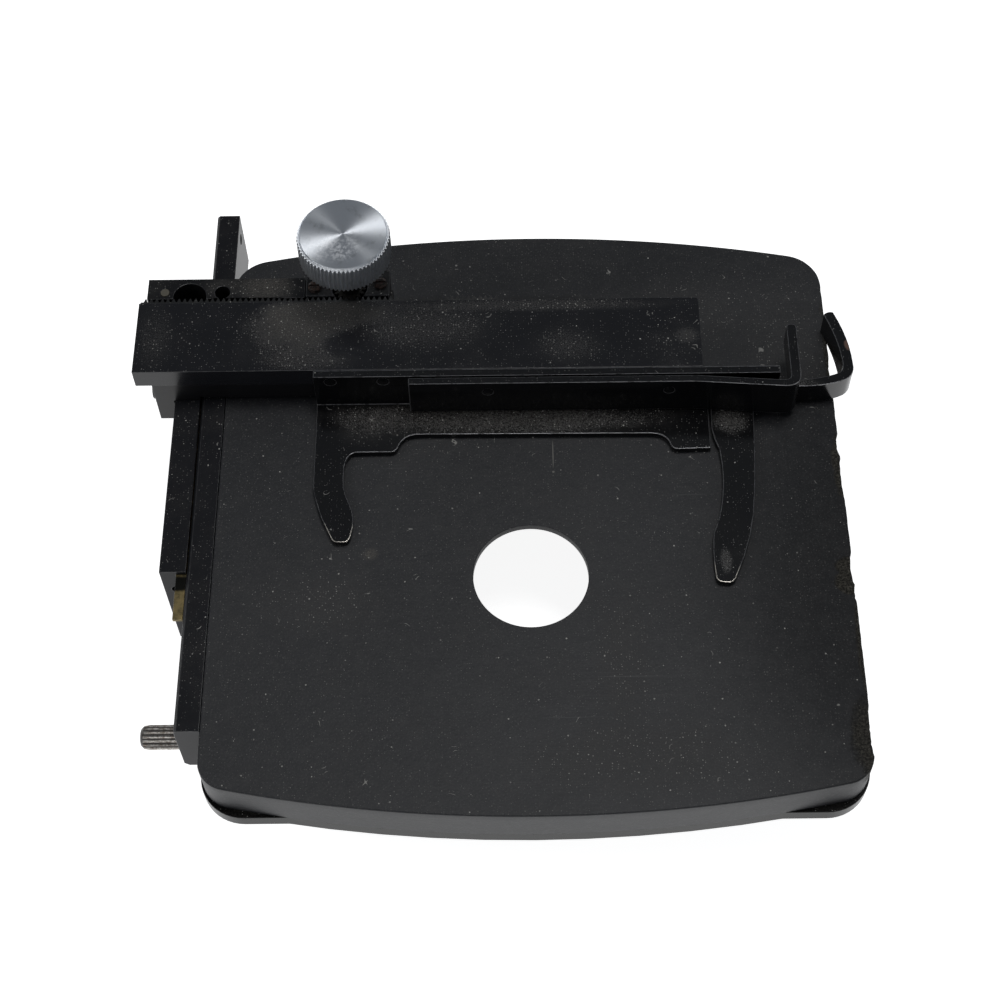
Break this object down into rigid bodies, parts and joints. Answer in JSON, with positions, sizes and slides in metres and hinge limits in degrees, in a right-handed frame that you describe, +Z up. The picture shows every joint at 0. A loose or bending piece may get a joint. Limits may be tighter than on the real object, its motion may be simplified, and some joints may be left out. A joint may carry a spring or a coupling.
{
  "type": "microscope mechanical stage",
  "caption": "Compound-microscope stage plate with a built-on slide holder that travels across on a rack and pinion and along on a side rail, with a sprung jaw.",
  "frame": {"origin": "middle of the flat mounting pad under the rear of the stage, on its bottom face", "axes": "+X to the user's right along the slide, +Y away from the user, +Z up along the optical axis"},
  "size_m": [0.1441, 0.1383, 0.0549],
  "materials": {
    "hard_rubber": "worn satin black hard rubber",
    "black_casting": "black lacquer",
    "black_lacquer": "dusty glossy black lacquer",
    "black_sheet": "glossy black lacquer with bright worn edges",
    "brass": "tarnished",
    "chrome": "turned and polished",
    "bright_steel": "dull turned",
    "dark_screws": "blackened steel",
    "rusty_screws": "rusted slotted heads"
  },
  "bodies": {
    "stage": {"stage_top_plate": "hard_rubber", "stage_casting": "black_casting", "plate_screw_1": "dark_screws", "plate_screw_2": "dark_screws", "plate_screw_3": "dark_screws", "plate_screw_4": "dark_screws", "y_guide_rail": "black_lacquer", "rail_screw_1": "dark_screws", "rail_screw_2": "dark_screws", "rail_screw_3": "dark_screws", "rail_screw_4": "dark_screws", "y_rack": "bright_steel", "rear_stop_pin": "dark_screws"},
    "stop_screw": {"knurled_stop_screw": "bright_steel"},
    "carriage": {"y_carriage": "black_lacquer", "brass_gib_strip": "brass", "gib_screw_1": "dark_screws", "gib_screw_2": "dark_screws", "gib_screw_3": "dark_screws", "x_guide_block": "black_lacquer", "block_screw_1": "dark_screws", "block_screw_2": "dark_screws", "brass_dowel": "brass", "pinion_housing": "black_lacquer", "housing_screw_1": "rusty_screws", "housing_screw_2": "rusty_screws", "pinion_spring_washer": "bright_steel"},
    "x_drive": {"x_pinion_shaft": "bright_steel", "x_knob": "chrome", "pinion_end_washer": "bright_steel", "pinion_end_screw": "dark_screws"},
    "x_slide": {"x_bar": "black_lacquer", "x_rack": "black_lacquer", "slide_holder_fixed": "black_sheet", "holder_rivet_1": "dark_screws", "holder_rivet_2": "dark_screws", "holder_rivet_3": "dark_screws", "jaw_spring": "bright_steel", "spring_anchor_pin": "bright_steel"},
    "jaw": {"slide_holder_jaw": "black_sheet", "jaw_stud_1": "dark_screws", "jaw_stud_2": "dark_screws"}
  },
  "joints": [
    {"name": "y_travel", "type": "slide", "parent": "stage", "child": "carriage", "axis": [0, 1, 0], "range_m": [-0.028, 0.0215]},
    {"name": "x_travel", "type": "slide", "parent": "carriage", "child": "x_slide", "axis": [1, 0, 0], "range_m": [-0.036, 0.024]},
    {"name": "x_knob_turn", "type": "hinge", "parent": "carriage", "child": "x_drive", "pos_m": [-0.0364, 0.00565, 0.04], "axis": [0, 0, 1], "range_deg": [-680, 455]},
    {"name": "jaw_open", "type": "slide", "parent": "x_slide", "child": "jaw", "axis": [1, 0, 0], "range_m": [0, 0.008], "stiffness_N_per_m": 250, "springref_m": -0.006},
    {"name": "stop_screw_turn", "type": "hinge", "parent": "stage", "child": "stop_screw", "pos_m": [-0.07, -0.0852, 0.0075], "axis": [1, 0, 0], "range_deg": [0, 360]}
  ],
  "couplings": [
    {"joint": "x_knob_turn", "follows": "x_travel", "rad_per_m": 326.8}
  ]
}
